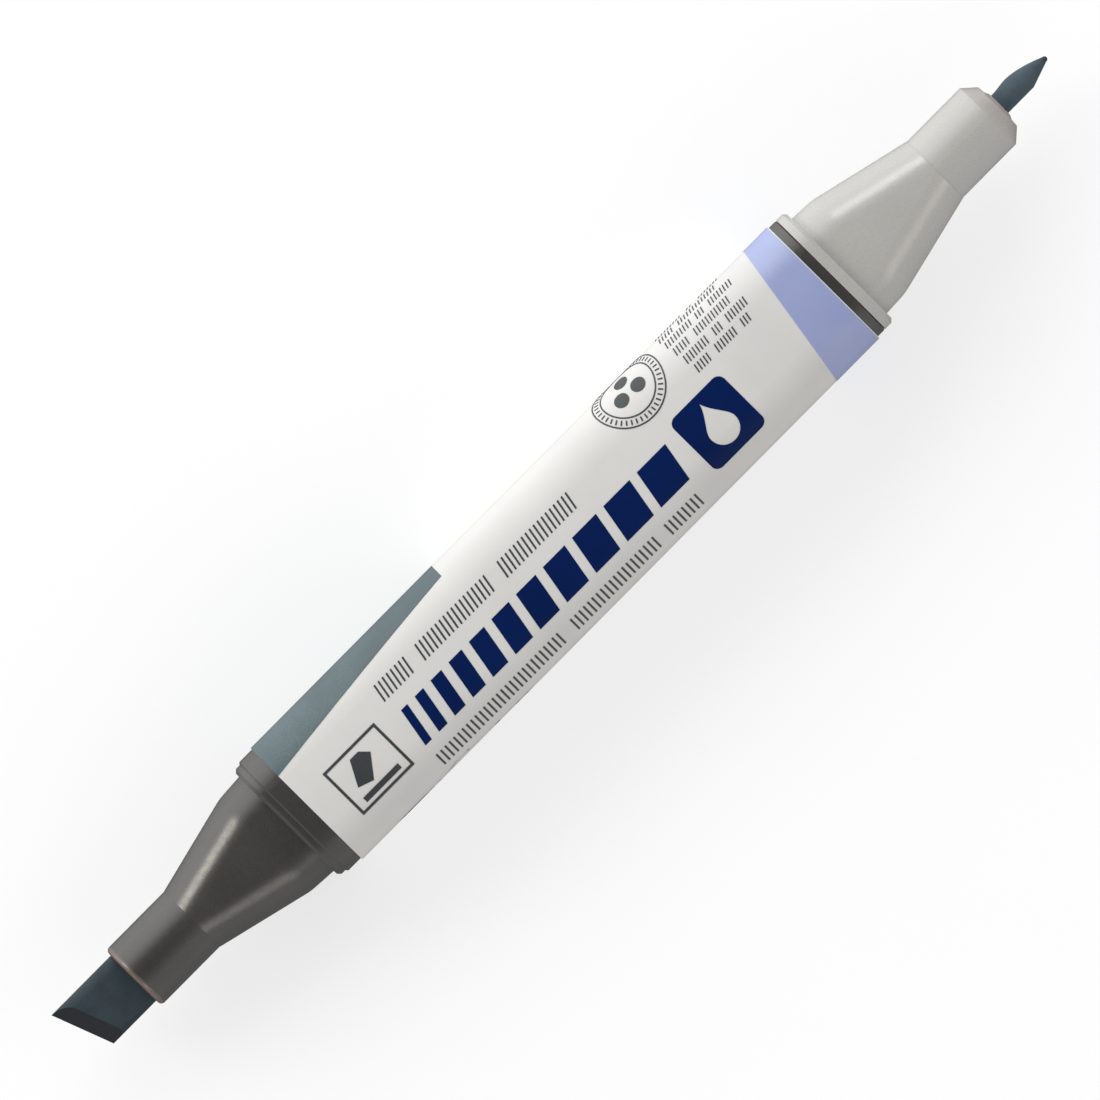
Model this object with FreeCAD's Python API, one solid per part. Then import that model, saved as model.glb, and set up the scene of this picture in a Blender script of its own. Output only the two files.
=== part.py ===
"""Double-ended felt tip marker without its caps: a rounded-square barrel with a chisel nib at one end and a
round fine nib at the other, both fed by one fibre ink reservoir.

Frame: the marker lies on one flat of its barrel. +X runs along its length towards the fine nib, +Z is up, and
the origin is on the resting plane, midway between the two nib tips. All sizes are in millimetres.
"""

import FreeCAD
import Part
import math
import os

V = FreeCAD.Vector
ALONG = V(1, 0, 0)

# Overall
ACROSS_FLATS = 16.0  # over the label, the widest part of the marker
CORNER_R = 4.5  # corner radius of the label's outside
TIP_X = 70.5  # distance of each nib's tip from the origin
AXIS_Z = ACROSS_FLATS / 2

# Barrel, an open tube, and the label film wrapped round it
BARREL_X0 = -38.8
BARREL_X1 = 39.2
LABEL_X0 = -36.8
LABEL_X1 = 38.1
FILM_T = 0.15
BARREL_WALL = 1.2
BARREL_EDGE = 0.2  # chamfer round each end of the barrel
BARREL_HALF = ACROSS_FLATS / 2 - FILM_T
BARREL_R = CORNER_R - FILM_T
BORE_HALF = BARREL_HALF - BARREL_WALL
BORE_R = BARREL_R - BARREL_WALL

# Nozzle plugs, which snap into the barrel's ends
PLUG_LENGTH = 5.0
PLUG_PLAY = 0.05  # gap between a plug and the barrel's bore
PLUG_HALF = BORE_HALF - PLUG_PLAY
PLUG_R = BORE_R - PLUG_PLAY
BEAD_HEIGHT = 0.2  # snap bead round each plug, and the groove for it in the bore
BEAD_LENGTH = 0.7
BEAD_DEPTH = 2.5  # from the barrel's end to the bead's nearer side
NOZZLE_WALL = 1.1
NECK_R = 3.95  # corner radius of each nozzle's neck and taper
NECK_BLEND_R = 6.0  # rounding where the neck turns into the taper
TAPER_LIP = 0.03  # how far the taper's small end stands proud of the round spigot
FLANGE_EDGE = 0.35  # chamfer on each flange's outer rim
GUIDE_START = 11.6  # where a nozzle turns from hollow to a close guide for its nib
FIN_START = 2.0  # thin fins, from here to the guide, centre the nib in the hollow part
FIN_WIDTH = 0.8
NIB_PLAY = 0.04  # gap all round a nib

# Each nozzle's outside. Stations count outwards from the barrel's end; "way" is their direction along X.
FINE_END = {
    "base": BARREL_X1,
    "way": 1,
    "flange_half": BARREL_HALF,
    "flange_end": 1.2,
    "neck_half": (6.84, 6.72),  # at the flange and at the taper
    "neck_end": 3.95,
    "taper_end": 15.1,
    # Stations and radii of the round end, with a bevelled nose and a low cone round the nib
    "spigot": ((15.1, 4.05), (22.8, 4.05), (24.2, 2.8), (24.25, 2.0), (24.5, 1.5)),
    "rim_station": 24.2,
    "rim_r": 0.25,
}
BROAD_END = {
    "base": BARREL_X0,
    "way": -1,
    "flange_half": 7.6,
    "flange_end": 0.9,
    "neck_half": (6.82, 6.62),
    "neck_end": 4.0,
    "taper_end": 14.6,
    "spigot": ((14.6, 4.0), (23.1, 4.0)),
    "rim_station": 23.1,
    "rim_r": 0.5,
}

# Reservoir: a fibre rod in a film sleeve, held off the barrel's wall by ribs
RESERVOIR_R = 5.85
SLEEVE_T = 0.1
RESERVOIR_GAP = 0.3  # between the reservoir and each plug
RESERVOIR_X0 = BARREL_X0 + PLUG_LENGTH + RESERVOIR_GAP
RESERVOIR_X1 = BARREL_X1 - PLUG_LENGTH - RESERVOIR_GAP
RIB_PLAY = 0.05
RIB_WIDTH = 0.9
RIB_COUNT = 8
SOCKET_DEPTH = 6.0  # blind holes in the reservoir's ends, one for each nib
NIB_DEPTH = 5.4  # how far each nib reaches into its socket

# Fine nib: a round rod whose point swells a little and then curves down on +Y, and is a plain cone on -Y
FINE_NIB_R = 1.25
FINE_POINT_X = 63.9  # where the swelling starts, just outside the nozzle
FINE_SWELL_X = 65.9  # where it is widest
FINE_SWELL = 0.18
FINE_CURVE_POWER = 1.65
FINE_CONE_X = 67.4
FINE_TIP_R = 0.3
NIB_BACK_EDGE = 0.35  # chamfer at each nib's inner end

# Broad nib: a flat bar with a slanted chisel end, bevelled above and below. Its section is rounder on +Y
BROAD_NIB_WIDTH = 6.55
BROAD_NIB_T = 3.4
BROAD_NIB_CORNER_R = 0.6
BROAD_NIB_ROUND_R = 1.3
CHISEL_SLANT = 20.4  # degrees between the writing edge and a square cut
CHISEL_BEVEL = 1.8  # length of each bevel along the nib
CHISEL_EDGE_T = 0.8  # thickness left at the writing edge

# Air vents: shallow grooves along each nib's passage
VENT_R = 0.3
FINE_VENT_COUNT = 3
BROAD_VENT_Y = -0.9


def rounded_rectangle(x, half_y, half_z, radius, radius_plus_y=None):
    """Closed wire across the marker's axis at x. Its two corners on +Y may have a radius of their own."""
    outline = []
    previous_end = None
    for quarter in range(4):
        turn = math.radians(90 * quarter)
        side_y = 1 if quarter in (0, 3) else -1
        side_z = 1 if quarter < 2 else -1
        corner_r = radius_plus_y if radius_plus_y and side_y > 0 else radius
        centre = V(x, side_y * (half_y - corner_r), AXIS_Z + side_z * (half_z - corner_r))
        start, middle, end = (
            centre + V(0, corner_r * math.cos(a), corner_r * math.sin(a))
            for a in (turn, turn + math.pi / 4, turn + math.pi / 2)
        )
        if previous_end:
            outline.append(Part.makeLine(previous_end, start))
        else:
            first_start = start
        outline.append(Part.Arc(start, middle, end).toShape())
        previous_end = end
    outline.append(Part.makeLine(previous_end, first_start))
    return Part.Wire(outline)


def bar(x0, x1, half_y, half_z, radius, radius_plus_y=None):
    """Straight bar of rounded-rectangle section."""
    section = rounded_rectangle(x0, half_y, half_z, radius, radius_plus_y)
    return Part.Face(section).extrude(V(x1 - x0, 0, 0))


def square_bar(x0, x1, half, radius):
    """Straight bar of rounded-square section."""
    return bar(x0, x1, half, half, radius)


def square_loft(sections, radius):
    """Bar through rounded squares, given as (x, half width), that share one corner radius."""
    wires = [rounded_rectangle(x, half, half, radius) for x, half in sections]
    return Part.makeLoft(wires, True, True)


def rod(x0, x1, radius):
    """Round bar on the marker's axis."""
    low, high = sorted((x0, x1))
    return Part.makeCylinder(radius, high - low, V(low, 0, AXIS_Z), ALONG)


def edges_at(shape, x):
    """Edges that lie in the plane at x."""
    return [e for e in shape.Edges if all(abs(p.x - x) < 1e-4 for p in e.discretize(3))]


def fuse(shapes):
    return shapes[0].fuse(shapes[1:]).removeSplitter()


def bead(base, way, play):
    """Snap bead of a plug, or with some play the groove for it."""
    near = base - way * (BEAD_DEPTH - play)
    far = base - way * (BEAD_DEPTH + BEAD_LENGTH + play)
    grow = BEAD_HEIGHT + play
    return square_bar(near, far, PLUG_HALF + grow, PLUG_R + grow)


def rib(angle):
    """Radial plate along the barrel, from the reservoir's sleeve into the barrel's wall."""
    corner = V(RESERVOIR_X0, -RIB_WIDTH / 2, AXIS_Z)
    plate = Part.makeBox(RESERVOIR_X1 - RESERVOIR_X0, RIB_WIDTH, 2 * BARREL_HALF, corner)
    plate.rotate(V(0, 0, AXIS_Z), ALONG, angle)
    to_wall = BARREL_WALL / 2
    wall_middle = square_bar(RESERVOIR_X0, RESERVOIR_X1, BORE_HALF + to_wall, BORE_R + to_wall)
    return plate.common(wall_middle).cut(rod(RESERVOIR_X0, RESERVOIR_X1, RESERVOIR_R + SLEEVE_T + RIB_PLAY))


def barrel_tube():
    """Open tube with ribs inside. It shows as a narrow ring at each end of the label."""
    outside = square_bar(BARREL_X0, BARREL_X1, BARREL_HALF, BARREL_R)
    rims = edges_at(outside, BARREL_X0) + edges_at(outside, BARREL_X1)
    outside = outside.makeChamfer(BARREL_EDGE, rims)
    bore = square_bar(BARREL_X0 - 1, BARREL_X1 + 1, BORE_HALF, BORE_R)
    grooves = [bead(end["base"], end["way"], PLUG_PLAY) for end in (FINE_END, BROAD_END)]
    ribs = [rib(i * 360 / RIB_COUNT) for i in range(RIB_COUNT)]
    return fuse([outside.cut([bore] + grooves)] + ribs)


def label_film():
    outside = square_bar(LABEL_X0, LABEL_X1, ACROSS_FLATS / 2, CORNER_R)
    return outside.cut(square_bar(LABEL_X0 - 1, LABEL_X1 + 1, BARREL_HALF, BARREL_R))


def spigot(end):
    """Round end of a nozzle, turned about the marker's axis, with a rounded rim."""
    outline = [(end["base"] + end["way"] * station, radius) for station, radius in end["spigot"]]
    outline = [(outline[0][0], 0)] + outline + [(outline[-1][0], 0)]
    points = [V(x, 0, AXIS_Z + radius) for x, radius in outline]
    turned = Part.Face(Part.makePolygon(points + points[:1])).revolve(V(0, 0, AXIS_Z), ALONG, 360)
    rim_x = end["base"] + end["way"] * end["rim_station"]
    return turned.makeFillet(end["rim_r"], edges_at(turned, rim_x))


def nozzle_skin(end):
    """Outside of a nozzle as one solid: plug, flange, neck, taper and spigot."""

    def at(station):
        return end["base"] + end["way"] * station

    plug = square_bar(at(-PLUG_LENGTH), at(0), PLUG_HALF, PLUG_R)
    flange_r = BARREL_R - (BARREL_HALF - end["flange_half"])
    flange = square_bar(at(0), at(end["flange_end"]), end["flange_half"], flange_r)
    flange = flange.makeChamfer(FLANGE_EDGE, edges_at(flange, at(end["flange_end"])))
    small_half = end["spigot"][0][1] + TAPER_LIP
    stations = (end["flange_end"], end["neck_end"], end["taper_end"])
    halves = end["neck_half"] + (small_half,)
    body = square_loft([(at(s), h) for s, h in zip(stations, halves)], NECK_R)
    body = body.makeFillet(NECK_BLEND_R, edges_at(body, at(end["neck_end"])))
    return fuse([plug, bead(end["base"], end["way"], 0), flange, body, spigot(end)])


def nozzle_cavity(end):
    """Hollow behind the nib's guide: straight through the plug and neck, then narrowing in the taper."""

    def at(station):
        return end["base"] + end["way"] * station

    wide = PLUG_HALF - NOZZLE_WALL
    neck_half = end["neck_half"][1]
    spigot_r = end["spigot"][0][1]
    share = (GUIDE_START - end["neck_end"]) / (end["taper_end"] - end["neck_end"])
    narrow = neck_half + share * (spigot_r - neck_half) - NOZZLE_WALL
    sections = [(at(-PLUG_LENGTH - 1), wide), (at(end["neck_end"]), wide), (at(GUIDE_START), narrow)]
    return square_loft(sections, NECK_R - NOZZLE_WALL)


def fin(end, y, z, half_y, half_z):
    """Thin plate along the hollow part of a nozzle, centred at y, z and far wider than the hollow."""
    x0, x1 = sorted(end["base"] + end["way"] * station for station in (FIN_START, GUIDE_START))
    return Part.makeBox(x1 - x0, 2 * half_y, 2 * half_z, V(x0, y - half_y, AXIS_Z + z - half_z))


def hollow_out(end, fins, passage):
    """The nozzle's skin with its cavity, the fins that lie in it, and the nib's passage."""
    cavity = nozzle_cavity(end)
    fins = fuse(fins).common(cavity)
    return fuse([nozzle_skin(end).cut(cavity), fins]).cut(passage).removeSplitter()


def passage_span(end):
    """X at both ends of a nib's passage, a little longer than the nozzle."""
    reach = end["spigot"][-1][0] + 1
    return end["base"], end["base"] + end["way"] * reach


def vent(x0, x1, y, z):
    """Shallow groove along a nib's passage."""
    return Part.makeCylinder(VENT_R, abs(x1 - x0), V(min(x0, x1), y, AXIS_Z + z), ALONG)


def fine_nozzle():
    """Light nozzle with a bevelled nose. Two crossed fins centre the round nib."""
    x0, x1 = passage_span(FINE_END)
    radius = FINE_NIB_R + NIB_PLAY
    passage = [rod(x0, x1, radius)]
    for i in range(FINE_VENT_COUNT):
        turn = math.radians(360 * i / FINE_VENT_COUNT)
        passage.append(vent(x0, x1, radius * math.cos(turn), radius * math.sin(turn)))
    fins = [
        fin(FINE_END, 0, 0, BARREL_HALF, FIN_WIDTH / 2),
        fin(FINE_END, 0, 0, FIN_WIDTH / 2, BARREL_HALF),
    ]
    return hollow_out(FINE_END, fins, fuse(passage))


def broad_nozzle():
    """Dark nozzle. Upright fins centre the flat nib, and one level pair holds its two narrow sides."""
    x0, x1 = passage_span(BROAD_END)
    half_y = BROAD_NIB_WIDTH / 2 + NIB_PLAY
    half_z = BROAD_NIB_T / 2 + NIB_PLAY
    passage = [bar(x0, x1, half_y, half_z, BROAD_NIB_CORNER_R + NIB_PLAY)]
    passage += [vent(x0, x1, BROAD_VENT_Y, side * half_z) for side in (-1, 1)]
    fins = [
        fin(BROAD_END, -BROAD_NIB_WIDTH / 3, 0, FIN_WIDTH / 2, BARREL_HALF),
        fin(BROAD_END, BROAD_NIB_WIDTH / 3, 0, FIN_WIDTH / 2, BARREL_HALF),
        fin(BROAD_END, 0, 0, BARREL_HALF, FIN_WIDTH / 2),
    ]
    return hollow_out(BROAD_END, fins, fuse(passage))


def fine_point_section(x):
    """Circle across the fine nib's point, off the marker's axis because the point's two sides differ."""
    end_x = TIP_X - FINE_TIP_R
    widest = FINE_NIB_R + FINE_SWELL
    if x < FINE_SWELL_X:
        rise = (x - FINE_POINT_X) / (FINE_SWELL_X - FINE_POINT_X)
        top = FINE_NIB_R + FINE_SWELL * (1 - math.cos(math.pi * rise)) / 2
    else:
        fall = (x - FINE_SWELL_X) / (end_x - FINE_SWELL_X)
        top = widest - (widest - FINE_TIP_R) * fall**FINE_CURVE_POWER
    cone = max(0, (x - FINE_CONE_X) / (end_x - FINE_CONE_X))
    bottom = -FINE_NIB_R + (FINE_NIB_R - FINE_TIP_R) * cone
    centre = V(x, (top + bottom) / 2, AXIS_Z)
    return Part.Wire(Part.makeCircle((top - bottom) / 2, centre, ALONG))


def fine_point_span(x0, x1):
    """Smooth stretch of the fine nib's point."""
    steps = 4
    stations = [x0 + (x1 - x0) * i / steps for i in range(steps + 1)]
    return Part.makeLoft([fine_point_section(x) for x in stations], True, False)


def fine_nib():
    """Round rod, chamfered inside the reservoir, with its slim point outside."""
    back_x = RESERVOIR_X1 - NIB_DEPTH
    end_x = TIP_X - FINE_TIP_R
    shank = rod(back_x, FINE_POINT_X, FINE_NIB_R)
    shank = shank.makeChamfer(NIB_BACK_EDGE, edges_at(shank, back_x))
    dome = Part.makeSphere(FINE_TIP_R, V(end_x, 0, AXIS_Z), ALONG, 0, 90, 360)
    stations = (FINE_POINT_X, FINE_SWELL_X, FINE_CONE_X, end_x)
    point = [fine_point_span(x0, x1) for x0, x1 in zip(stations, stations[1:])]
    return fuse([shank] + point + [dome])


def chisel_keep():
    """Wedge that the broad nib is trimmed to: a slanted end with a bevel above and below."""
    half_t = BROAD_NIB_T / 2
    edge = CHISEL_EDGE_T / 2
    past = 3 * TIP_X
    lower = [(0, -edge), (CHISEL_BEVEL, -half_t), (past, -half_t)]
    upper = [(x, -z) for x, z in reversed(lower)]
    slant = math.tan(math.radians(CHISEL_SLANT))
    sweep = V(slant, -1, 0) * (2 * BROAD_NIB_WIDTH)
    start = V(-TIP_X, BROAD_NIB_WIDTH / 2, AXIS_Z) - sweep / 4
    points = [start + V(x, 0, z) for x, z in lower + upper]
    return Part.Face(Part.makePolygon(points + points[:1])).extrude(sweep)


def broad_nib():
    """Flat bar, chamfered inside the reservoir, with its slanted chisel end outside."""
    back_x = RESERVOIR_X0 + NIB_DEPTH
    radii = (BROAD_NIB_CORNER_R, BROAD_NIB_ROUND_R)
    whole = bar(-TIP_X, back_x, BROAD_NIB_WIDTH / 2, BROAD_NIB_T / 2, *radii)
    whole = whole.makeChamfer(NIB_BACK_EDGE, edges_at(whole, back_x))
    return whole.common(chisel_keep()).removeSplitter()


def reservoir_core():
    """Ink-soaked fibre rod with a blind socket in each end for a nib."""
    fine_socket = rod(RESERVOIR_X1 - SOCKET_DEPTH, RESERVOIR_X1 + 1, FINE_NIB_R + NIB_PLAY)
    broad_socket = bar(
        RESERVOIR_X0 - 1,
        RESERVOIR_X0 + SOCKET_DEPTH,
        BROAD_NIB_WIDTH / 2 + NIB_PLAY,
        BROAD_NIB_T / 2 + NIB_PLAY,
        BROAD_NIB_CORNER_R + NIB_PLAY,
    )
    return rod(RESERVOIR_X0, RESERVOIR_X1, RESERVOIR_R).cut([fine_socket, broad_socket])


def reservoir_sleeve():
    """Thin film sleeve round the fibre rod."""
    outside = rod(RESERVOIR_X0, RESERVOIR_X1, RESERVOIR_R + SLEEVE_T)
    return outside.cut(rod(RESERVOIR_X0 - 1, RESERVOIR_X1 + 1, RESERVOIR_R))


NODES = {
    "barrel_tube": barrel_tube,
    "label_film": label_film,
    "broad_nozzle": broad_nozzle,
    "fine_nozzle": fine_nozzle,
    "broad_nib": broad_nib,
    "fine_nib": fine_nib,
    "reservoir_core": reservoir_core,
    "reservoir_sleeve": reservoir_sleeve,
}


def main():
    os.makedirs("parts", exist_ok=True)
    for name, make in NODES.items():
        shape = make()
        if not shape.isValid() or len(shape.Solids) != 1:
            raise RuntimeError(name + " is not one valid solid")
        shape.exportStep("parts/" + name + ".step")
        box = shape.BoundBox
        print(f"{name}: {shape.Volume:.1f} mm3, x {box.XMin:.2f} to {box.XMax:.2f}")


main()
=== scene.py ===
"""Looks of the double-ended felt tip marker: its label's print, its materials, and a plain studio.

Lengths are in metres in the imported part's own frame: +X runs along the marker towards its fine nib, +Z is
up, and the label's front faces up. Print is laid out flat, in millimetres, and then wrapped round the label.
"""

import math

import bmesh
import bpy
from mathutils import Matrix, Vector


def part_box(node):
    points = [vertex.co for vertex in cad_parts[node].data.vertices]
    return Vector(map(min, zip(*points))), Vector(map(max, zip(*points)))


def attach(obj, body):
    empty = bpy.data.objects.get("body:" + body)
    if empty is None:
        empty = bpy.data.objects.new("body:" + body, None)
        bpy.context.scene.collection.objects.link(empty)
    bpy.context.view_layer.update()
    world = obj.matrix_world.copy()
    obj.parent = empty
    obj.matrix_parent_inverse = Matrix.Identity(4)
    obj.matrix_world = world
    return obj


MM = 0.001

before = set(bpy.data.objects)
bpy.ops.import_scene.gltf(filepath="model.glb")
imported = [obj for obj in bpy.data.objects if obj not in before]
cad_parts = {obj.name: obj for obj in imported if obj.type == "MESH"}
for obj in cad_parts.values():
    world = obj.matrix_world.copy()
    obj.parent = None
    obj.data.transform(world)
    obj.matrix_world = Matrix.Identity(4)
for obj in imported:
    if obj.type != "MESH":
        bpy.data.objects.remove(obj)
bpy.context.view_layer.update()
label_low, label_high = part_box("label_film")
BROAD_MOUTH_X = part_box("broad_nozzle")[0].x
FINE_MOUTH_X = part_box("fine_nozzle")[1].x
FINE_TIP_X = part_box("fine_nib")[1].x
AXIS_Z = (label_low.z + label_high.z) / 2

# The label's section is a rounded square. Print is placed on it by x, which is the frame's own X, and by
# "girth", the distance round the section from the middle of the front flat, positive towards +Y. Both are in
# millimetres, as are the sizes below.
LABEL_X0 = label_low.x / MM
LABEL_X1 = label_high.x / MM
HALF = label_high.y / MM
CORNER_R = 4.5
FLAT_HALF = HALF - CORNER_R
SIDE = 2 * FLAT_HALF + CORNER_R * math.pi / 2
GIRTH = 4 * SIDE

PRINT_LIFT = 0.035  # print stands this far off the label, and reaches this far into it
CORNER_STEPS = 16  # strips that print is cut into round each corner of the label
MERGE_DISTANCE = 1e-5  # points closer than this are one
SMOOTH_ANGLE = math.radians(30)  # sharper edges than this are shaded as edges

# The film's free edge runs along the -Y side, where it bows out a little at one place
OVERLAP_LIFT = 0.07
OVERLAP_DIP = 0.02
OVERLAP_WIDTH = 3.0
SEAM_GIRTH = -10.3
SEAM_BOW = 1.3
SEAM_BOW_X = -22.2
SEAM_BOW_LENGTH = 2.6


# Wrapping print round the label


def seam_girth(x):
    """Girth of the film's free edge at x."""
    return SEAM_GIRTH + SEAM_BOW * math.exp(-(((x - SEAM_BOW_X) / SEAM_BOW_LENGTH) ** 2))


def past_seam(x, girth):
    """How far round from the film's free edge a place lies, on the overlap's side of it."""
    return (seam_girth(x) - girth) % GIRTH


def print_height(x, girth):
    """Outer height of print, which follows the film up over its overlap."""
    overlap = OVERLAP_LIFT * max(0.0, 1 - past_seam(x, girth) / OVERLAP_WIDTH)
    return overlap + PRINT_LIFT


def overlap_height(x, girth):
    """Outer height of the overlap's wedge, which dips under the label's surface at its far side."""
    return OVERLAP_LIFT - (OVERLAP_LIFT + OVERLAP_DIP) * past_seam(x, girth) / OVERLAP_WIDTH


def on_label(x, girth, lift):
    """Point at x and girth, at a height above the label's surface."""
    side, along = divmod(girth + FLAT_HALF, SIDE)
    if along <= 2 * FLAT_HALF:
        across = along - FLAT_HALF
        up = HALF + lift
    else:
        turn = (along - 2 * FLAT_HALF) / CORNER_R
        across = FLAT_HALF + (CORNER_R + lift) * math.sin(turn)
        up = FLAT_HALF + (CORNER_R + lift) * math.cos(turn)
    for _ in range(int(side) % 4):
        across, up = up, -across
    return Vector((x * MM, across * MM, AXIS_Z + up * MM))


def flat_mesh(outlines):
    """Filled plane mesh of closed outlines, where an outline inside another is a hole."""
    curve = bpy.data.curves.new("outline", "CURVE")
    curve.dimensions = "2D"
    curve.fill_mode = "BOTH"
    for outline in outlines:
        spline = curve.splines.new("POLY")
        spline.points.add(len(outline) - 1)
        for point, (x, girth) in zip(spline.points, outline):
            point.co = (x, girth, 0, 1)
        spline.use_cyclic_u = True
    holder = bpy.data.objects.new("outline", curve)
    bpy.context.scene.collection.objects.link(holder)
    depsgraph = bpy.context.evaluated_depsgraph_get()
    mesh = bpy.data.meshes.new_from_object(holder.evaluated_get(depsgraph))
    bpy.data.objects.remove(holder)
    bpy.data.curves.remove(curve)
    return mesh


def cut_lines():
    """Girths where print is cut, so that it follows the label's corners."""
    corner = CORNER_R * math.pi / 2
    lines = []
    for side in range(-3, 4):
        start = side * SIDE + FLAT_HALF
        lines += [start + corner * step / CORNER_STEPS for step in range(CORNER_STEPS + 1)]
    return lines


def flat_plan(outlines):
    """The filled outlines, cut into narrow strips wherever the label turns a corner."""
    mesh = flat_mesh(outlines)
    plan = bmesh.new()
    plan.from_mesh(mesh)
    bpy.data.meshes.remove(mesh)
    bmesh.ops.remove_doubles(plan, verts=plan.verts, dist=MERGE_DISTANCE)
    girths = [v.co.y for v in plan.verts]
    for line in cut_lines():
        if min(girths) < line < max(girths):
            everything = plan.verts[:] + plan.edges[:] + plan.faces[:]
            bmesh.ops.bisect_plane(
                plan, geom=everything, dist=MERGE_DISTANCE, plane_co=(0, line, 0), plane_no=(0, 1, 0)
            )
    plan.verts.index_update()
    return plan


def wrap(name, outlines, height):
    """Thin closed solid: outlines filled and wrapped round the label, as high as height(x, girth) says."""
    plan = flat_plan(outlines)
    solid = bmesh.new()
    spots = [(v.co.x, v.co.y) for v in plan.verts]
    outer = [solid.verts.new(on_label(x, g, height(x, g))) for x, g in spots]
    inner = [solid.verts.new(on_label(x, g, -PRINT_LIFT)) for x, g in spots]
    for face in plan.faces:
        ring = [v.index for v in face.verts]
        solid.faces.new([outer[i] for i in ring])
        solid.faces.new([inner[i] for i in reversed(ring)])
    for edge in plan.edges:
        if len(edge.link_faces) == 1:
            a, b = (v.index for v in edge.verts)
            solid.faces.new((outer[a], outer[b], inner[b], inner[a]))
    plan.free()
    bmesh.ops.recalc_face_normals(solid, faces=solid.faces)
    for face in solid.faces:
        face.smooth = True
    for edge in solid.edges:
        edge.smooth = edge.calc_face_angle(0) < SMOOTH_ANGLE
    mesh = bpy.data.meshes.new(name)
    solid.to_mesh(mesh)
    solid.free()
    piece = bpy.data.objects.new(name, mesh)
    bpy.context.scene.collection.objects.link(piece)
    return piece


def add_piece(name, outlines, height, material):
    """A piece of the label, wrapped round it and moving with the barrel."""
    piece = wrap(name, outlines, height)
    piece.data.materials.append(material)
    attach(piece, "barrel")


def add_print(name, outlines, material):
    """A printed shape on the label."""
    add_piece(name, outlines, print_height, material)


# Outlines, as lists of (x, girth)


def box_outline(x0, x1, g0, g1):
    """Plain box."""
    return [(x0, g0), (x1, g0), (x1, g1), (x0, g1)]


def rounded_box(x0, x1, g0, g1, radius):
    """Box with round corners."""
    steps = 8
    outline = []
    corners = ((x1, g1, 0), (x0, g1, 90), (x0, g0, 180), (x1, g0, 270))
    for x, g, start in corners:
        centre_x = x - radius if x == x1 else x + radius
        centre_g = g - radius if g == g1 else g + radius
        for step in range(steps + 1):
            turn = math.radians(start + 90 * step / steps)
            outline.append((centre_x + radius * math.cos(turn), centre_g + radius * math.sin(turn)))
    return outline


def circle(x, girth, radius, steps=48):
    """Circle round a place."""
    turns = (2 * math.pi * step / steps for step in range(steps))
    return [(x + radius * math.cos(t), girth + radius * math.sin(t)) for t in turns]


def drop(x, girth, radius, height):
    """Ink drop: a circle of this radius at x, girth, drawn up to a point at this height above its centre."""
    steps = 40
    outline = []
    for step in range(steps):
        turn = 2 * math.pi * step / steps
        pull = max(0.0, math.sin(turn)) ** 3
        across = radius * math.cos(turn) * (1 - pull)
        up = radius * math.sin(turn) + (height - radius) * pull
        outline.append((x + across, girth + up))
    return outline


def stroke(x, g0, g1, width, slant):
    """Slanted bar: its foot's left corner is at x, and slant is its lean along x for each unit of height."""
    lean = (g1 - g0) * slant
    return [(x, g0), (x + width, g0), (x + width + lean, g1), (x + lean, g1)]


def hatch(x0, lengths, gap, g0, g1, width, pitch, slant):
    """Groups of fine slanted strokes, one group for each of the lengths."""
    outlines = []
    x = x0
    for length in lengths:
        count = max(2, round(length / pitch))
        outlines += [stroke(x + i * pitch, g0, g1, width, slant) for i in range(count)]
        x += length + gap
    return outlines


# The label's pieces. A box is its x from and to, then its girth from and to.

SLATE_GIRTH = 4.02  # the slate panel's nearer edge at the label's broad end
SLATE_SLOPE = 0.109
SLATE_END_X = -10.6
BAND_X = 33.26  # the lavender band's edge, on the marker's axis
BAND_SLOPE = 0.1645  # how far that edge moves along x for each unit of Y
BAND_MARGIN = 0.12  # bare film left beyond the band
BAND_GAP = 0.01  # left open between the band's two ends, at the seam
LEAN = 0.18  # lean of the printed strokes
SCALE_BOX = (-24.0, 15.0, -4.45, -0.15)
DROP_BOX = (16.7, 24.0, -6.1, 1.1)
NIB_BOX = (-33.5, -26.1, -5.0, 0.95)
RING_CENTRE = (16.2, 6.96)


def film_overlap(material):
    """The film's overlap: a long wedge whose free edge stands proud along the -Y side."""
    steps = 60
    xs = [LABEL_X0 + (LABEL_X1 - LABEL_X0) * i / steps for i in range(steps + 1)]
    outline = [(x, seam_girth(x)) for x in xs]
    outline += [(x, seam_girth(x) - OVERLAP_WIDTH) for x in reversed(xs)]
    add_piece("film_overlap", [outline], overlap_height, material)


def slate_panel(material):
    """Wedge over the +Y side, the same above and below that side's middle line."""
    near = [(x, SLATE_GIRTH + SLATE_SLOPE * (x - LABEL_X0)) for x in (LABEL_X0, SLATE_END_X)]
    far = [(x, 2 * SIDE - g) for x, g in reversed(near)]
    add_print("slate_panel", [near + far], material)


def lavender_band(material):
    """Band round the label's fine end, from the film's seam right round to it, cut on a slant plane."""
    steps = 160
    end_x = LABEL_X1 - BAND_MARGIN
    start = SEAM_GIRTH
    end = SEAM_GIRTH + GIRTH - BAND_GAP
    girths = [start + (end - start) * i / steps for i in range(steps + 1)]
    outline = [(BAND_X + BAND_SLOPE * on_label(BAND_X, g, 0).y / MM, g) for g in girths]
    outline += [(end_x, end), (end_x, start)]
    add_print("lavender_band", [outline], material)


def line_weight_scale(material):
    """Row of bold slanted strokes, each wider than the last."""
    x0, x1, g0, g1 = SCALE_BOX
    thinnest = 0.9
    wider_by = 0.32
    widths = [thinnest + wider_by * i for i in range(11)]
    reach = x1 - x0 - LEAN * (g1 - g0)
    gap = (reach - sum(widths)) / (len(widths) - 1)
    outlines = []
    x = x0
    for width in widths:
        outlines.append(stroke(x, g0, g1, width, LEAN))
        x += width + gap
    add_print("line_weight_scale", outlines, material)


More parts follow.
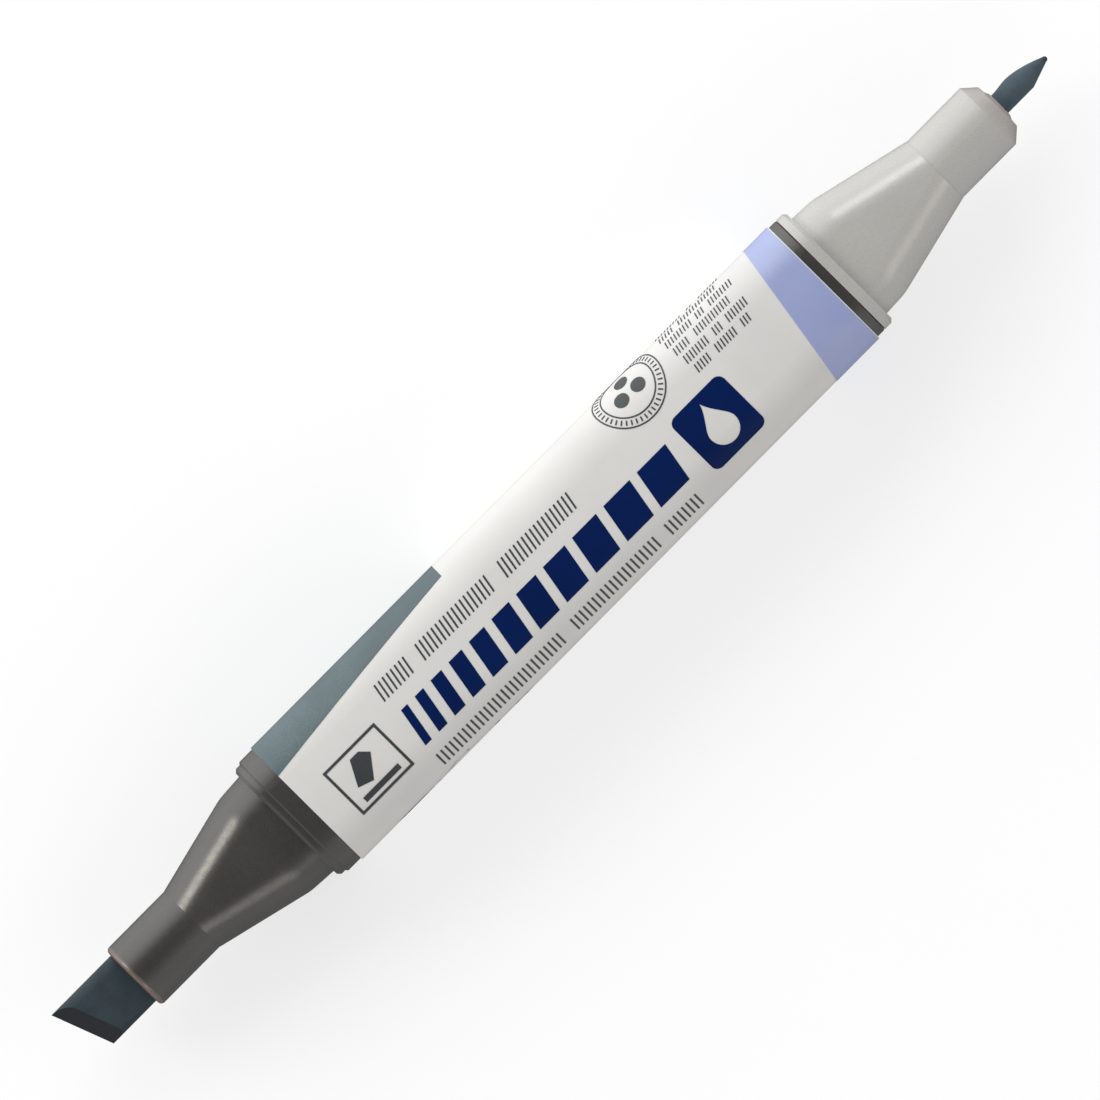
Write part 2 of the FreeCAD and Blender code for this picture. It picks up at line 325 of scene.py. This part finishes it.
def drop_badge(material):
    """Rounded square with an ink drop left bare in it."""
    x0, x1, g0, g1 = DROP_BOX
    ink_drop = drop((x0 + x1) / 2, girth=-3.2, radius=1.75, height=3.5)
    outlines = [rounded_box(x0, x1, g0, g1, radius=0.9), ink_drop]
    add_print("drop_badge", outlines, material)


def small_rows():
    """Block of small hatched rows by the fine end, each starting a little further back than the last."""
    rows = ((2.2, 3.0, 1.4), (3.4, 1.2, 3.0), (2.2, 5.2), (3.6, 1.2, 3.2), (2.0, 5.6), (3.8, 1.0, 2.8))
    start_x = 22.6
    step_back = 0.18
    start_girth = 2.5
    row_pitch = 1.42
    row_height = 0.95
    outlines = []
    for row, lengths in enumerate(rows):
        x = start_x - step_back * row
        g = start_girth + row_pitch * row
        outlines += hatch(x, lengths, gap=0.7, g0=g, g1=g + row_height, width=0.15, pitch=0.42, slant=LEAN)
    return outlines


def fine_lines(material):
    """Rows of fine hatching on both sides of the bold row, and a block of smaller ones by the fine end."""
    upper = hatch(-23.8, (4.6, 10.6, 10.2), gap=1.3, g0=1.65, g1=3.6, width=0.2, pitch=0.58, slant=LEAN)
    lower = hatch(-24.0, (18.2, 12.4, 5.2), gap=1.2, g0=-7.9, g1=-6.0, width=0.22, pitch=0.62, slant=0)
    add_print("fine_lines", upper + lower + small_rows(), material)


def nib_box(material):
    """Outlined box with a chisel nib's outline over the broad line that it draws."""
    x0, x1, g0, g1 = NIB_BOX
    rule = 0.3
    nib_shape = ((1.6, 2.4), (3.3, 1.8), (5.1, 4.1), (4.2, 5.0), (3.0, 5.0))
    outer = box_outline(x0, x1, g0, g1)
    inner = box_outline(x0 + rule, x1 - rule, g0 + rule, g1 - rule)
    nib = [(x0 + x, g0 + g) for x, g in nib_shape]
    line = box_outline(x0 + 1.2, x0 + 6.2, g0 + 0.7, g0 + 1.3)
    add_print("nib_box", [outer, inner, nib, line], material)


def ring_badge(material):
    """Two rings with ticks between them, round a triangle of three dots."""
    outer_ring = 4.36
    inner_ring = 3.3
    rule = 0.16
    ticks = 44
    tick_from = 3.5
    tick_to = 4.02
    tick_half_width = 0.08
    dots = 3
    dot_ring = 1.35
    dot_radius = 0.85
    centre = Vector(RING_CENTRE)
    outlines = []
    for radius in (outer_ring, inner_ring):
        outlines += [circle(*centre, radius), circle(*centre, radius - rule)]
    for i in range(ticks):
        turn = 2 * math.pi * i / ticks
        out = Vector((math.cos(turn), math.sin(turn)))
        across = Vector((-math.sin(turn), math.cos(turn))) * tick_half_width
        near = centre + out * tick_from
        far = centre + out * tick_to
        outlines.append([tuple(p) for p in (near - across, far - across, far + across, near + across)])
    for i in range(dots):
        turn = math.pi / 2 + 2 * math.pi * i / dots
        dot_centre = centre + Vector((math.cos(turn), math.sin(turn))) * dot_ring
        outlines.append(circle(*dot_centre, dot_radius, steps=32))
    add_print("ring_badge", outlines, material)


# Materials

BOW_RADIUS = 40 * MM  # the flats are shaded as if bowed to this radius
PLASTIC_ROUGHNESS = 0.27
FILM_ROUGHNESS = 0.34
REFRACTION = 1.6


class Nodes:
    """Adds and links the nodes of one tree."""

    def __init__(self, tree):
        self.tree = tree

    def feed(self, socket, value):
        """Links another node's output to the socket, or sets it to a plain value."""
        if isinstance(value, bpy.types.NodeSocket):
            self.tree.links.new(value, socket)
        else:
            socket.default_value = value

    def add(self, kind, inputs=None, **settings):
        """A new node with these settings and inputs."""
        node = self.tree.nodes.new(kind)
        for key, value in settings.items():
            setattr(node, key, value)
        for key, value in (inputs or {}).items():
            self.feed(node.inputs[key], value)
        return node

    def ramp(self, value, low, high, out_low=0.0, out_high=1.0):
        """Value from low to high mapped smoothly to out_low to out_high, and held beyond."""
        inputs = {"Value": value, "From Min": low, "From Max": high, "To Min": out_low, "To Max": out_high}
        node = self.add("ShaderNodeMapRange", inputs, interpolation_type="SMOOTHSTEP", clamp=True)
        return node.outputs["Result"]

    def math(self, operation, a, b=0.0):
        """Sum, product or other operation on two values."""
        node = self.add("ShaderNodeMath", {0: a, 1: b}, operation=operation)
        return node.outputs["Value"]


class Shader(Nodes):
    """A node material under construction, built round one Principled shader."""

    def __init__(self, name):
        self.material = bpy.data.materials.new(name)
        self.material.use_nodes = True
        super().__init__(self.material.node_tree)
        self.bsdf = self.tree.nodes["Principled BSDF"]
        self.place = self.add("ShaderNodeTexCoord").outputs["Object"]

    def set(self, **inputs):
        """Feeds the Principled shader. Underscores in a name stand for spaces."""
        for key, value in inputs.items():
            self.feed(self.bsdf.inputs[key.replace("_", " ")], value)

    def stretched(self, x, y, z):
        """The place, scaled along each axis: a larger number makes a finer pattern."""
        return self.add("ShaderNodeMapping", {"Vector": self.place, "Scale": (x, y, z)}).outputs["Vector"]

    def noise(self, scale, detail=3.0, roughness=0.55, place=None):
        """Soft noise from 0 to 1. Scale is in patches for each metre."""
        inputs = {"Vector": place or self.place, "Scale": scale, "Detail": detail, "Roughness": roughness}
        return self.add("ShaderNodeTexNoise", inputs).outputs["Fac"]

    def mix(self, factor, a, b):
        """Colour from a to b as the factor goes from 0 to 1."""
        node = self.add("ShaderNodeMix", data_type="RGBA")
        sockets = {s.name: s for s in node.inputs if s.enabled}
        for key, value in (("Factor", factor), ("A", a), ("B", b)):
            self.feed(sockets[key], value)
        return next(s for s in node.outputs if s.enabled)

    def axis(self, name):
        """The place along one axis."""
        return self.add("ShaderNodeSeparateXYZ", {"Vector": self.place}).outputs[name]

    def bump(self, height, distance, strength=1.0, normal=None):
        """Normal bent by a height pattern, on top of another bent normal if one is given."""
        inputs = {"Height": height, "Distance": distance, "Strength": strength}
        if normal is not None:
            inputs["Normal"] = normal
        return self.add("ShaderNodeBump", inputs).outputs["Normal"]

    def bow(self):
        """Bump that bows the marker's flats out very slightly, as moulded and wrapped flats are."""
        up = self.math("SUBTRACT", self.axis("Z"), AXIS_Z)
        square = self.math("ADD", self.math("POWER", self.axis("Y"), 2.0), self.math("POWER", up, 2.0))
        return self.bump(self.math("DIVIDE", square, -2 * BOW_RADIUS), 1.0)


def srgb(red, green, blue):
    """Linear colour from an ordinary 0 to 255 one."""

    def linear(level):
        share = level / 255
        return ((share + 0.055) / 1.055) ** 2.4 if level > 10 else share / 12.92

    return (linear(red), linear(green), linear(blue), 1.0)


def plastic(name, colour, cloudy, scuffed, stain_and_highlight, stain_and_highlight_mask, specular):
    """Satin moulded plastic with a cloudy tone, fine scuffs and a little ink stain where the mask says;
    where that stain is lighter than the plastic it is also a painted highlight.
    """
    shader = Shader(name)
    fine = shader.noise(6000, detail=2.0)
    cloud = shader.noise(160)
    along = shader.noise(1.0, detail=4.0, place=shader.stretched(260, 5200, 5200))
    across = shader.noise(1.0, detail=4.0, place=shader.stretched(5200, 700, 700))
    scuffs = shader.math("MAXIMUM", shader.ramp(along, 0.68, 0.8), shader.ramp(across, 0.7, 0.82))
    blend = shader.math("ADD", shader.math("MULTIPLY", cloud, 0.5), shader.math("MULTIPLY", fine, 0.5))
    tone = shader.mix(shader.ramp(blend, 0.35, 0.65), colour, cloudy)
    tone = shader.mix(shader.math("MULTIPLY", scuffs, 0.4), tone, scuffed)
    # ink stain at the mouth; on the dark plastic it is paler than the plastic, so it is also a painted
    # highlight on the rim
    tone = shader.mix(stain_and_highlight_mask(shader), tone, stain_and_highlight)
    bump = shader.bump(fine, 0.0022 * MM, 0.5, shader.bow())
    bump = shader.bump(scuffs, -0.0025 * MM, 0.6, bump)
    mottled = shader.ramp(shader.noise(1400), 0.3, 0.7, PLASTIC_ROUGHNESS - 0.02, PLASTIC_ROUGHNESS + 0.03)
    rough = shader.math("ADD", mottled, shader.math("MULTIPLY", scuffs, 0.06))
    shader.set(Base_Color=tone, Normal=bump, Roughness=rough, Specular_IOR_Level=specular, IOR=REFRACTION)
    return shader


def dust(shader, colour):
    """A few pale specks of dust over the material's colour."""
    cells = shader.add("ShaderNodeTexVoronoi", {"Vector": shader.place, "Scale": 420})
    lot = shader.add("ShaderNodeSeparateColor", {"Color": cells.outputs["Color"]}).outputs["Red"]
    chosen = shader.math("GREATER_THAN", lot, 0.92)
    speck = shader.ramp(cells.outputs["Distance"], 0.025, 0.05, 0.8, 0.0)
    under = shader.bsdf.inputs["Base Color"].links[0].from_socket
    shader.set(Base_Color=shader.mix(shader.math("MULTIPLY", chosen, speck), under, colour))


def mouth_stain_and_highlight(mouth_x, way, depth, strength):
    """Mask of the ink stain round a nozzle's mouth; round the broad mouth it also places a painted highlight
    on the rim. way is the direction that the mouth faces along X.
    """

    def mask(shader):
        inward = shader.math("MULTIPLY", shader.math("SUBTRACT", mouth_x, shader.axis("X")), way)
        wander = shader.math("MULTIPLY", shader.noise(900, detail=2.0), -0.4 * MM)
        ragged = shader.math("ADD", inward, wander)
        return shader.ramp(ragged, depth * 0.3 - 0.2 * MM, depth - 0.2 * MM, strength, 0.0)

    return mask


def dark_plastic():
    """Dark grey of the barrel and the broad nozzle."""
    shader = plastic(
        "dark_plastic",
        colour=srgb(41, 39, 36),
        cloudy=srgb(53, 50, 47),
        scuffed=srgb(78, 73, 69),
        # pale pinkish ink stain that also paints the highlight on the broad mouth's rounded rim
        stain_and_highlight=srgb(138, 113, 103),
        stain_and_highlight_mask=mouth_stain_and_highlight(BROAD_MOUTH_X, -1, depth=0.75 * MM, strength=0.6),
        specular=0.88,
    )
    dust(shader, srgb(200, 196, 190))
    return shader.material


def light_plastic():
    """Light grey of the fine nozzle."""
    shader = plastic(
        "light_plastic",
        colour=srgb(189, 189, 185),
        cloudy=srgb(193, 192, 188),
        scuffed=srgb(201, 200, 196),
        stain_and_highlight=srgb(173, 160, 155),
        stain_and_highlight_mask=mouth_stain_and_highlight(FINE_MOUTH_X, 1, depth=2.2 * MM, strength=0.5),
        specular=0.93,
    )
    return shader.material


def printed_film(name, colour, shade, gloss, halftone=0.0):
    """Satin film: its colour, faintly mottled to a second shade, on a surface that isn't quite flat."""
    shader = Shader(name)
    specks = shader.noise(5200, detail=2.0)
    creases = shader.noise(1.0, detail=2.0, place=shader.stretched(40, 120, 120))
    tone = shader.mix(shader.ramp(shader.noise(110), 0.3, 0.7), colour, shade)
    if halftone:
        tone = shader.mix(shader.ramp(specks, 0.35, 0.65, 0.0, halftone), tone, shade)
    bump = shader.bump(creases, 0.03 * MM, 0.3, shader.bow())
    bump = shader.bump(specks, 0.002 * MM, 0.4, bump)
    rub = shader.ramp(shader.noise(320, detail=4.0), 0.45, 0.75, FILM_ROUGHNESS, FILM_ROUGHNESS + 0.04)
    shader.set(Base_Color=tone, Normal=bump, Roughness=rub, Specular_IOR_Level=gloss, IOR=REFRACTION)
    return shader.material


def felt(name, colour, wet, tip_mask):
    """Pressed fibre soaked in ink: streaks along the nib, loose fibres, and a darker working tip."""
    shader = Shader(name)
    fibres = shader.noise(1.0, detail=5.0, roughness=0.65, place=shader.stretched(700, 9000, 9000))
    tufts = shader.noise(6500, detail=4.0, roughness=0.7)
    patches = shader.noise(500)
    tone = shader.mix(shader.ramp(fibres, 0.35, 0.7), shader.mix(0.25, colour, wet), colour)
    tone = shader.mix(shader.ramp(patches, 0.35, 0.7, 0.0, 0.3), tone, wet)
    tone = shader.mix(tip_mask(shader), tone, wet)
    height = shader.math("ADD", fibres, shader.math("MULTIPLY", tufts, 0.6))
    rough = shader.ramp(tufts, 0.3, 0.7, 0.6, 0.8)
    shader.set(Base_Color=tone, Normal=shader.bump(height, 0.012 * MM, 0.6), Roughness=rough)
    shader.set(Specular_IOR_Level=0.3)
    return shader.material


def broad_nib_felt():
    """Felt, darker on the chisel's cut faces, which are the ones that face along X."""

    def mask(shader):
        normal = shader.add("ShaderNodeNewGeometry").outputs["Normal"]
        forward = shader.add("ShaderNodeSeparateXYZ", {"Vector": normal}).outputs["X"]
        return shader.ramp(forward, -0.45, -0.2, 1.0, 0.0)

    return felt("broad_nib_felt", srgb(52, 67, 75), srgb(40, 43, 49), mask)


def fine_nib_felt():
    """Felt, darker over the last of the point."""

    def mask(shader):
        return shader.ramp(shader.axis("X"), FINE_TIP_X - 1.2 * MM, FINE_TIP_X, 0.0, 0.9)

    return felt("fine_nib_felt", srgb(82, 97, 108), srgb(45, 58, 67), mask)


def reservoir_fibre():
    """The same fibre, in a looser bundle with no working tip."""
    return felt("reservoir_fibre", srgb(96, 120, 132), srgb(58, 78, 90), lambda shader: 0.0)


def reservoir_film():
    """Thin milky film, faintly streaked along the reservoir."""
    shader = Shader("reservoir_film")
    streaks = shader.noise(1.0, place=shader.stretched(80, 2500, 2500))
    tone = shader.mix(streaks, srgb(205, 208, 205), srgb(180, 186, 186))
    shader.set(Base_Color=tone, Roughness=shader.ramp(streaks, 0.3, 0.7, 0.2, 0.4))
    shader.set(Normal=shader.bump(streaks, 0.02 * MM, 0.5))
    return shader.material


def paint_nodes(white):
    """Gives each CAD node its material."""
    dark = dark_plastic()
    finishes = {
        "barrel_tube": dark,
        "broad_nozzle": dark,
        "fine_nozzle": light_plastic(),
        "label_film": white,
        "broad_nib": broad_nib_felt(),
        "fine_nib": fine_nib_felt(),
        "reservoir_core": reservoir_fibre(),
        "reservoir_sleeve": reservoir_film(),
    }
    for node, material in finishes.items():
        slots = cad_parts[node].data.materials
        slots.clear()
        slots.append(material)


def print_label(white):
    """Adds the film's overlap and everything printed on the label."""
    navy = printed_film("print_navy", srgb(0, 32, 92), srgb(0, 27, 82), 0.1, halftone=0.4)
    grey = printed_film("print_grey", srgb(66, 72, 75), srgb(56, 61, 64), 0.4, halftone=0.4)
    slate = printed_film("print_slate", srgb(88, 108, 112), srgb(67, 87, 93), 0.55, halftone=0.6)
    lavender = printed_film("print_lavender", srgb(166, 177, 224), srgb(156, 168, 218), 1.0, halftone=0.4)
    film_overlap(white)
    slate_panel(slate)
    lavender_band(lavender)
    line_weight_scale(navy)
    drop_badge(navy)
    fine_lines(grey)
    nib_box(grey)
    ring_badge(grey)


# Studio. Radiance is counted with 1 for plain white in the finished picture. A band of sky is placed by the
# direction's Y part, where the band starts and where it is full.

LAMP_DISTANCE = 0.7
KEY_DIRECTION = (0.54, 0.62, 0.53)
KEY_SIZE = (0.2, 0.25)
FILL_DIRECTION = (0.505, -0.688, 0.597)
FILL_SIZE = (0.41, 0.25)
SKY_LEVEL = 0.535  # level with the marker
SKY_UPRIGHT = 0.22  # straight up, and straight down
SKY_BELOW = 0.64  # how much of the sky is left well below the marker
SKY_BELOW_UP = (-0.75, 0.08)  # the upward part of the direction where that is so, and where all of it is
KEY_BAND = 1.15
KEY_BAND_ACROSS = (0.24, 0.87)
FILL_BAND = 0.145
FILL_BAND_ACROSS = (-0.17, -0.73)
FLOOR_GLOW = 0.64
FLOOR_HALF = 3.0


def area_light(name, direction, size, radiance, tint):
    """Soft panel that stands off in a direction and faces the marker's middle."""
    width, height = size
    centre = Vector((0, 0, AXIS_Z))
    lamp = bpy.data.lights.new(name, "AREA")
    lamp.shape = "RECTANGLE"
    lamp.size = width
    lamp.size_y = height
    lamp.energy = radiance * math.pi * width * height
    lamp.color = tint
    holder = bpy.data.objects.new(name, lamp)
    holder.location = centre + Vector(direction).normalized() * LAMP_DISTANCE
    holder.rotation_euler = (centre - holder.location).to_track_quat("-Z", "Y").to_euler()
    bpy.context.scene.collection.objects.link(holder)


def end_lights(end, way, key, key_tint, fill, fill_tint):
    """The strong and the weak panel off one end of the marker. way is that end's direction along X."""
    towards_end = Vector((way, 1, 1))
    area_light("key_" + end, Vector(KEY_DIRECTION) * towards_end, KEY_SIZE, key, key_tint)
    area_light("fill_" + end, Vector(FILL_DIRECTION) * towards_end, FILL_SIZE, fill, fill_tint)


def sky():
    """Surroundings, dimmer above and below, with a bright band on the +Y side and a weak one opposite."""
    world = bpy.data.worlds.new("studio")
    world.use_nodes = True
    nodes = Nodes(world.node_tree)
    way = nodes.add("ShaderNodeTexCoord").outputs["Generated"]
    split = nodes.add("ShaderNodeSeparateXYZ", {"Vector": way})
    across = split.outputs["Y"]
    up = split.outputs["Z"]
    upright = nodes.math("MULTIPLY", up, up)
    surround = nodes.math("ADD", nodes.math("MULTIPLY", upright, SKY_UPRIGHT - SKY_LEVEL), SKY_LEVEL)
    key = nodes.ramp(across, *KEY_BAND_ACROSS, 0.0, KEY_BAND)
    fill_start, fill_full = FILL_BAND_ACROSS
    fill = nodes.ramp(across, fill_full, fill_start, FILL_BAND, 0.0)
    total = nodes.math("ADD", surround, nodes.math("ADD", key, fill))
    strength = nodes.math("MULTIPLY", total, nodes.ramp(up, *SKY_BELOW_UP, SKY_BELOW, 1.0))
    background = world.node_tree.nodes["Background"]
    nodes.feed(background.inputs["Color"], (1.0, 1.0, 1.0, 1.0))
    nodes.feed(background.inputs["Strength"], strength)
    bpy.context.scene.world = world


def floor():
    """Pale paper, just below the print underneath, with a faint glow so that it stays near white.

    It lights nothing on the marker: the sky does that.
    """
    corners = box_outline(-FLOOR_HALF, FLOOR_HALF, -FLOOR_HALF, FLOOR_HALF)
    mesh = bpy.data.meshes.new("floor")
    mesh.from_pydata([(x, y, -PRINT_LIFT * MM) for x, y in corners], [], [(0, 1, 2, 3)])
    sheet = bpy.data.objects.new("floor", mesh)
    bpy.context.scene.collection.objects.link(sheet)
    paper = Shader("floor_paper")
    tone = paper.mix(paper.noise(30), srgb(178, 179, 181), srgb(175, 176, 178))
    paper.set(Base_Color=tone, Roughness=0.9, Specular_IOR_Level=0.0)
    paper.set(Emission_Color=(1, 1, 1, 1), Emission_Strength=FLOOR_GLOW)
    mesh.materials.append(paper.material)
    sheet.visible_diffuse = False
    sheet.visible_glossy = False


def studio():
    """Two soft panels high on the +Y side, two weak ones opposite, pale surroundings and a pale floor."""
    end_lights("fine", 1, key=3.2, key_tint=(1.0, 1.0, 1.0), fill=1.15, fill_tint=(1.0, 0.9, 0.8))
    end_lights("broad", -1, key=5.1, key_tint=(1.0, 0.94, 0.84), fill=1.1, fill_tint=(1.0, 0.92, 0.84))
    sky()
    floor()


CAMERA_DISTANCE = 5.0
CAMERA_OFFSET = (-0.93 * MM, 0.57 * MM)  # from over the frame's origin
CAMERA_TURN = math.radians(-45.25)
CAMERA_REACH = 20
FRAME_WIDTH = 112.3 * MM  # the width that the picture shows at the marker
SENSOR_WIDTH = 36


def camera():
    """Straight down on the marker, far off through a long lens, with the marker rising to the right."""
    data = bpy.data.cameras.new("camera")
    data.sensor_width = SENSOR_WIDTH
    data.lens = SENSOR_WIDTH * CAMERA_DISTANCE / FRAME_WIDTH
    data.clip_end = CAMERA_REACH
    holder = bpy.data.objects.new("camera", data)
    holder.location = (*CAMERA_OFFSET, AXIS_Z + CAMERA_DISTANCE)
    holder.rotation_euler = (0, 0, CAMERA_TURN)
    bpy.context.scene.collection.objects.link(holder)
    bpy.context.scene.camera = holder
    bpy.context.scene.view_settings.view_transform = "Standard"


def main():
    white = printed_film("label_white", srgb(230, 230, 228), srgb(226, 225, 224), 0.2)
    paint_nodes(white)
    print_label(white)
    studio()
    camera()


main()
